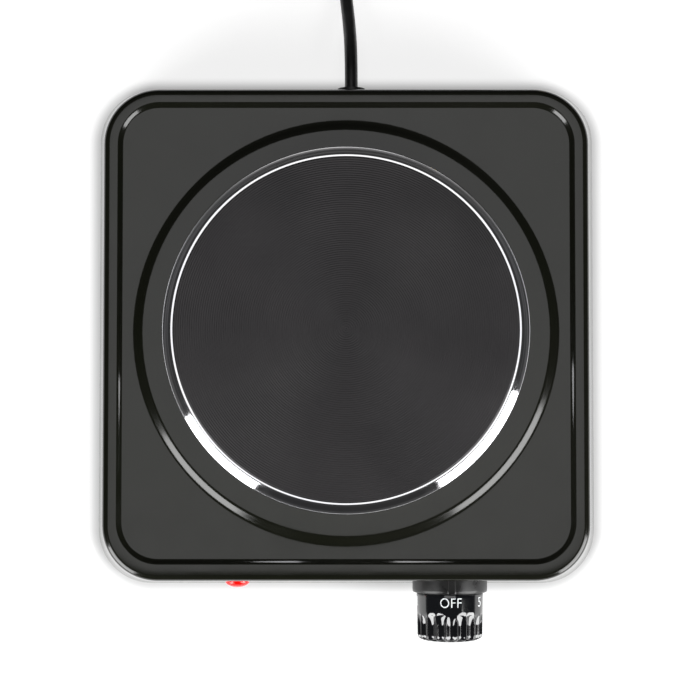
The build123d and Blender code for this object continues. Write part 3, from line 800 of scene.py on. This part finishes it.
FLUTE_START = -126.8
FLUTE_DEEPEST = 1.25
FLUTE_RUN = 4.5
FLUTE_SHARE = 0.92
TIP_R = 14.7
TIP_EDGE = ((TIP_R - 0.05, 3.2), (TIP_R - 0.3, 2.6), (TIP_R - 0.8, 2.1), (13.1, 1.62))
KNOB_FACE = ((12.4, 1.4), (11.6, 1.2), (9.4, 0.72), (6.5, 0.33), (3.0, 0.07), (0.05, 0.0))
BORE_R = 3.05
BORE_END = -134.0
HUB_R = 5.5
HUB_BACK = -118.6
KNOB_HOLLOW_R = 12.4


def knob_radius(y):
    """The knob's outside before it is fluted; it narrows a little to the front."""
    share = (KNOB_BACK - y) / (KNOB_BACK - KNOB_FRONT)
    return KNOB_R - share * (KNOB_R - TIP_R)


def fluted(angle, radius, y):
    """Grooves that get deeper and wider from their start to the front."""
    pitch = 2 * math.pi / FLUTES
    across = (angle / pitch + 0.5) % 1.0 - 0.5
    run = min(max((FLUTE_START - y) / FLUTE_RUN, 0.0), 1.0)
    depth = FLUTE_DEEPEST * math.sqrt(run)
    spread = abs(across) * 2
    return radius - max(0.0, depth * (1.0 - (spread / FLUTE_SHARE) ** 2)), y


def knob_loops():
    """From the middle of the face round the outside to the back, and in again to the end of the bore."""
    count = FLUTES * 16
    loops = [ring_about_y(KNOB_R - 0.6, KNOB_BACK, KNOB_X, CONTROL_Z, count)]
    loops.append(ring_about_y(KNOB_R - 0.12, KNOB_BACK - 0.12, KNOB_X, CONTROL_Z, count))
    y = KNOB_BACK - 0.5
    while y > KNOB_FRONT + 3.4:
        loops.append(ring_about_y(knob_radius(y), y, KNOB_X, CONTROL_Z, count, fluted))
        y -= 0.35 if y < FLUTE_START + 0.5 else 1.2
    for radius, back in TIP_EDGE:
        loops.append(ring_about_y(radius, KNOB_FRONT + back, KNOB_X, CONTROL_Z, count, fluted))
    for radius, back in KNOB_FACE:
        loops.append(ring_about_y(radius, KNOB_FRONT + back, KNOB_X, CONTROL_Z, count))
    inside = (
        (KNOB_HOLLOW_R, KNOB_BACK), (KNOB_HOLLOW_R, BORE_END), (HUB_R, BORE_END), (HUB_R, HUB_BACK),
        (BORE_R, HUB_BACK), (BORE_R, BORE_END), (KNOB_FACE[-1][0], BORE_END),
    )
    hollow = [ring_about_y(r, y, KNOB_X, CONTROL_Z, count) for r, y in inside]
    return loops[::-1] + hollow


def make_knob(looks):
    mesh = skin("knob_grip", knob_loops(), cap_ends=True)
    knob = add_piece("knob_grip", mesh, looks["knob_black"], "control", 38)
    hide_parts("knob")


DIAL = (("OFF", -1), ("1", -78), ("2", -130), ("3", 173), ("4", 116), ("5", 59))
DIAL_Y = -121.5
FIGURE_HEIGHT = 4.3
FIGURE_NARROWING = 0.9
CAPITAL_SHARE = 0.69
LETTER_SPACE = 1.06
LETTER_THINNER = 0.05
SLICE = 0.4
PRINT_RAISED = 0.035
PRINT_SUNK = 0.05


def flat_text(text):
    """A flat mesh of a word, in millimetres, centred, with letters as high as the dial's figures."""
    curve = bpy.data.curves.new("figure", "FONT")
    curve.body = text
    curve.align_x = "CENTER"
    curve.align_y = "CENTER"
    curve.size = FIGURE_HEIGHT / CAPITAL_SHARE
    curve.space_character = LETTER_SPACE
    curve.offset = -LETTER_THINNER
    work = bpy.data.objects.new("figure_work", curve)
    bpy.context.scene.collection.objects.link(work)
    bpy.context.view_layer.update()
    mesh = bpy.data.meshes.new_from_object(work.evaluated_get(bpy.context.evaluated_depsgraph_get()))
    bpy.data.objects.remove(work)
    return mesh


def wrap_text(text, turn_deg):
    """Lays a word on the knob's outside at an angle from the top, measured towards +X."""
    mesh = flat_text(text)
    work = bmesh.new()
    work.from_mesh(mesh)
    low = min(vert.co.x for vert in work.verts)
    high = max(vert.co.x for vert in work.verts)
    cut = low + SLICE
    while cut < high:
        geometry = work.verts[:] + work.edges[:] + work.faces[:]
        bmesh.ops.bisect_plane(work, geom=geometry, plane_co=(cut, 0, 0), plane_no=(1, 0, 0))
        cut += SLICE
    extruded = bmesh.ops.extrude_face_region(work, geom=work.faces[:])
    for item in extruded["geom"]:
        if isinstance(item, bmesh.types.BMVert):
            item.co.z -= 1.0
    for vert in work.verts:
        vert.co.x *= FIGURE_NARROWING
        y = DIAL_Y + vert.co.y
        raised = PRINT_RAISED if vert.co.z > -0.5 else -PRINT_SUNK
        radius = knob_radius(y) + raised
        angle = math.radians(turn_deg) + vert.co.x / KNOB_R
        vert.co = at(KNOB_X + radius * math.sin(angle), y, CONTROL_Z + radius * math.cos(angle))
    bmesh.ops.recalc_face_normals(work, faces=work.faces)
    work.to_mesh(mesh)
    work.free()
    return mesh


def make_dial(looks):
    white = print_white()
    for text, turn_deg in DIAL:
        name = f"dial_figure_{text.lower()}"
        piece = add_piece(name, wrap_text(text, turn_deg), white, "control", 30)
        piece.data.name = name


COLLAR_HOLE_R = 8.2
COLLAR_SUNK = 0.35
MARK_RAISED = 0.4
MARK_HALF_DEG = 5.2
MARK_RUN_DEG = 1.6


def make_bezel(looks):
    """A collar that is cut to the sloping wall at its back, with a small raised mark on top."""
    radius = (BEZEL_HIGH.x - BEZEL_LOW.x) / 2

    def outside(angle, r, y):
        off_top = abs((angle + math.pi) % (2 * math.pi) - math.pi)
        lift = MARK_RAISED * soft_ramp((MARK_HALF_DEG - math.degrees(off_top)) / MARK_RUN_DEG + 0.5)
        return r + lift, y

    def on_wall(angle, r, y):
        return outside(angle, r, front_wall(CONTROL_Z + r * math.cos(angle)) + COLLAR_SUNK)

    def inner_on_wall(angle, r, y):
        return r, front_wall(CONTROL_Z + r * math.cos(angle)) + COLLAR_SUNK

    count = 320
    place = (KNOB_X, CONTROL_Z, count)
    loops = [
        ring_about_y(radius, 0, *place, on_wall),
        ring_about_y(radius, BEZEL_FRONT + 1.6, *place, outside),
        ring_about_y(radius - 0.12, BEZEL_FRONT + 0.5, *place, outside),
        ring_about_y(radius - 0.4, BEZEL_FRONT + 0.15, *place, outside),
        ring_about_y(radius - 0.8, BEZEL_FRONT, *place, outside),
        ring_about_y(radius - 2.0, BEZEL_FRONT, *place),
        ring_about_y(COLLAR_HOLE_R, BEZEL_FRONT, *place),
        ring_about_y(COLLAR_HOLE_R, 0, *place, inner_on_wall),
    ]
    mesh = skin("dial_collar", loops, close=True)
    bezel = add_piece("dial_collar", mesh, looks["bezel_black"], "housing", 35)
    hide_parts("dial_bezel")


DOME_DEPTH = 2.75
LENS_SUNK = 0.2
BARREL_R = 4.8
BARREL_INNER_R = 3.8
BARREL_END = -98.0
BARREL_FLOOR = -111.0


def make_lamp(looks):
    """The red lens: a low dome with a flange on the wall and a barrel inside it."""
    x = (LENS_LOW.x + LENS_HIGH.x) / 2
    front = LENS_LOW.y - HOUSING_Y
    radius = (LENS_HIGH.x - LENS_LOW.x) / 2
    count = 96

    def on_wall(angle, r, y):
        return r, front_wall(CONTROL_Z + r * math.cos(angle)) + LENS_SUNK

    loops = [ring_about_y(0.05, front, x, CONTROL_Z, count)]
    for i in range(1, 13):
        angle = math.radians(86 * i / 12)
        y = front + DOME_DEPTH * (1 - math.cos(angle))
        loops.append(ring_about_y(radius * math.sin(angle), y, x, CONTROL_Z, count))
    loops.append(ring_about_y(radius, 0, x, CONTROL_Z, count, on_wall))
    loops.append(ring_about_y(BARREL_R, 0, x, CONTROL_Z, count, on_wall))
    barrel = (
        (BARREL_R, BARREL_END), (BARREL_INNER_R, BARREL_END), (BARREL_INNER_R, BARREL_FLOOR),
        (0.05, BARREL_FLOOR),
    )
    for r, y in barrel:
        loops.append(ring_about_y(r, y, x, CONTROL_Z, count))
    mesh = skin("lamp_dome", loops, cap_ends=True)
    lens = add_piece("lamp_dome", mesh, looks["lens_red"], "housing", 40)
    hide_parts("lamp_lens")


# ---- the cord ----


INWARD_AT, INWARD_RUN = 0.7, 0.3
RISE_AT, RISE_RUN = 1.35, 0.35
OUTWARD_AT, OUTWARD_RUN = 2.05, 0.3


def turn_place(turns):
    """Radius and height of the wound cord after a number of turns: in, up, and out again."""
    inward = soft_ramp((turns - INWARD_AT) / INWARD_RUN)
    outward = soft_ramp((turns - OUTWARD_AT) / OUTWARD_RUN)
    rise = soft_ramp((turns - RISE_AT) / RISE_RUN)
    radius = OUTER_TURN_R + (INNER_TURN_R - OUTER_TURN_R) * (inward - outward)
    return radius, LOW_LAY + (HIGH_LAY - LOW_LAY) * rise


def lead_points():
    """The route to the coil, the coil's turns, and the straight end that goes into the plug."""
    points = list(ROUTE)
    step_deg = 360 / TURN_POINTS
    start_deg = 180 - step_deg / 2
    steps = int(round(COIL_TURNS * TURN_POINTS)) - 1
    for i in range(steps + 1):
        radius, z = turn_place((i + 0.5) / TURN_POINTS)
        corner_r = radius / math.cos(math.radians(step_deg / 2))
        angle = math.radians(start_deg - step_deg * i)
        points.append((COIL_X + corner_r * math.cos(angle), COIL_Y + corner_r * math.sin(angle), z))
    for ahead in (STUB * 0.6, STUB):
        points.append((COIL_X + ahead, COIL_Y + OUTER_TURN_R, HIGH_LAY))
    return [at(*point) for point in points]


def make_lead(looks):
    curve = bpy.data.curves.new("mains_lead", "CURVE")
    curve.dimensions = "3D"
    curve.bevel_depth = CORD_R * MM
    curve.bevel_resolution = 8
    curve.resolution_u = 10
    curve.use_fill_caps = True
    points = lead_points()
    spline = curve.splines.new("NURBS")
    spline.points.add(len(points) - 1)
    for target, point in zip(spline.points, points):
        target.co = (*point, 1)
    spline.order_u = 3
    spline.use_endpoint_u = True
    curve.materials.append(looks["cord_black"])
    lead = bpy.data.objects.new("mains_lead", curve)
    bpy.context.scene.collection.objects.link(lead)
    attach(lead, "housing")
    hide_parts("power_cord", "cord_coil")


def rounded_section(x, y, z, half_y, half_z, power, count=96):
    """A superellipse across X."""
    loop = []
    for i in range(count):
        angle = 2 * math.pi * i / count
        c, s = math.cos(angle), math.sin(angle)
        a = math.copysign(abs(c) ** (2 / power), c)
        b = math.copysign(abs(s) ** (2 / power), s)
        loop.append(at(x, y + half_y * a, z + half_z * b))
    return loop


PLUG_RELIEF = 20.0
RELIEF_RIBS = 5
RELIEF_STEPS = 40
RELIEF_WALL = 0.55
RELIEF_GROWTH = 2.9
RIB_DEPTH = 0.45
PLUG_BODY = (
    (20.3, 8.0, 7.4, 2.6), (21.5, 9.6, 8.6, 3.0), (25, 11.0, 9.6, 3.2), (30, 11.4, 10.0, 3.4),
    (36, 11.6, 10.4, 3.6), (41, 12.6, 11.2, 3.8), (45, 13.7, 11.8, 4.2), (48, 14.0, 12.0, 4.6),
    (51.2, 14.0, 12.0, 4.8), (51.8, 13.8, 11.8, 4.8), (52, 13.3, 11.3, 4.8),
)


def plug_loops():
    """A ribbed strain relief that widens into a moulded body with a waist and a flat face."""
    start = COIL_X + STUB
    y = COIL_Y + OUTER_TURN_R
    middle_z = (PLUG_LOW.z + PLUG_HIGH.z) / 2
    loops = [rounded_section(start, y, HIGH_LAY, CORD_R + 0.05, CORD_R + 0.05, 2)]
    for i in range(RELIEF_STEPS + 1):
        t = i / RELIEF_STEPS
        rib = RIB_DEPTH * math.sin(2 * math.pi * RELIEF_RIBS * t) ** 2 * (1 - t)
        radius = CORD_R + RELIEF_WALL + RELIEF_GROWTH * t - rib
        z = HIGH_LAY + (middle_z - HIGH_LAY) * t
        loops.append(rounded_section(start + PLUG_RELIEF * t, y, z, radius, radius, 2))
    for ahead, half_y, half_z, power in PLUG_BODY:
        loops.append(rounded_section(start + ahead, y, middle_z, half_y, half_z, power))
    return loops


def make_plug(looks):
    mesh = skin("plug_moulding", plug_loops(), cap_ends=True)
    plug = add_piece("plug_moulding", mesh, looks["cord_black"], "housing", 35)
    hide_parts("plug_body")
    return plug


TIE_TURN_DEG = -30.0
TIE_HALF_R = 6.15
TIE_HALF_WIDTH = 3.0
TIE_THICK = 0.45
TIE_ROUNDING = 0.35
TIE_CLEAR = 0.04
TIE_CORNERS = (
    (-TIE_HALF_WIDTH, 0.0), (-TIE_HALF_WIDTH, TIE_THICK), (TIE_HALF_WIDTH, TIE_THICK),
    (TIE_HALF_WIDTH, 0.0),
)


def make_tie(looks):
    """A flat strap once round the wound cord."""
    middle = at(COIL_X, COIL_Y, 0)
    turn = math.radians(TIE_TURN_DEG)
    low, high = COIL_LOW.z - 0.05, COIL_HIGH.z + 0.08
    loops = []
    for side, thick in TIE_CORNERS:
        loop = []
        for i in range(64):
            angle = 2 * math.pi * i / 64
            c, s = math.cos(angle), math.sin(angle)
            across = math.copysign(abs(c) ** TIE_ROUNDING, c) * (TIE_HALF_R + thick)
            rise = math.copysign(abs(s) ** TIE_ROUNDING, s) * ((high - low) / 2 + thick)
            local = Vector((TURN_R + across, side, (low + high) / 2 + rise))
            x = local.x * math.cos(turn) - local.y * math.sin(turn)
            y = local.x * math.sin(turn) + local.y * math.cos(turn)
            loop.append(middle + Vector((x, y, max(local.z, TIE_CLEAR))) * MM)
        loops.append(loop)
    mesh = skin("lead_tie", loops, close=True)
    tie = add_piece("lead_tie", mesh, looks["nylon_black"], "housing", 50)
    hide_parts("cord_tie")
    return tie


# ---- the rest ----


def finish_cad_nodes(looks):
    """Gives every CAD node that is shown as it is the finished material of its slot."""
    slots = {part["node"]: part["material_slot"] for part in frame["record"]["subparts"]}
    for node, piece in frame["nodes"].items():
        for material_slot in piece.material_slots:
            material_slot.material = looks[slots[node]]


make_camera()
looks = slot_materials()
plug = make_plug(looks)
tie = make_tie(looks)
make_lead(looks)
make_world()
make_floor()
make_softbox("softbox_right", azimuth_deg=-37, distance=0.95, size=(0.69, 1.1), lift=0.56, power=21)
make_softbox("softbox_left", azimuth_deg=-138, distance=0.95, size=(0.55, 1.1), lift=0.56, power=17)
make_overhead(width=0.68, depth=0.54, middle_y=0.085, height=1.0, power=1.42)
finish_cad_nodes(looks)
make_housing(looks)
make_plate(looks)
make_ring(looks)
make_knob(looks)
make_dial(looks)
make_bezel(looks)
make_lamp(looks)
bpy.context.scene.view_settings.view_transform = "Standard"
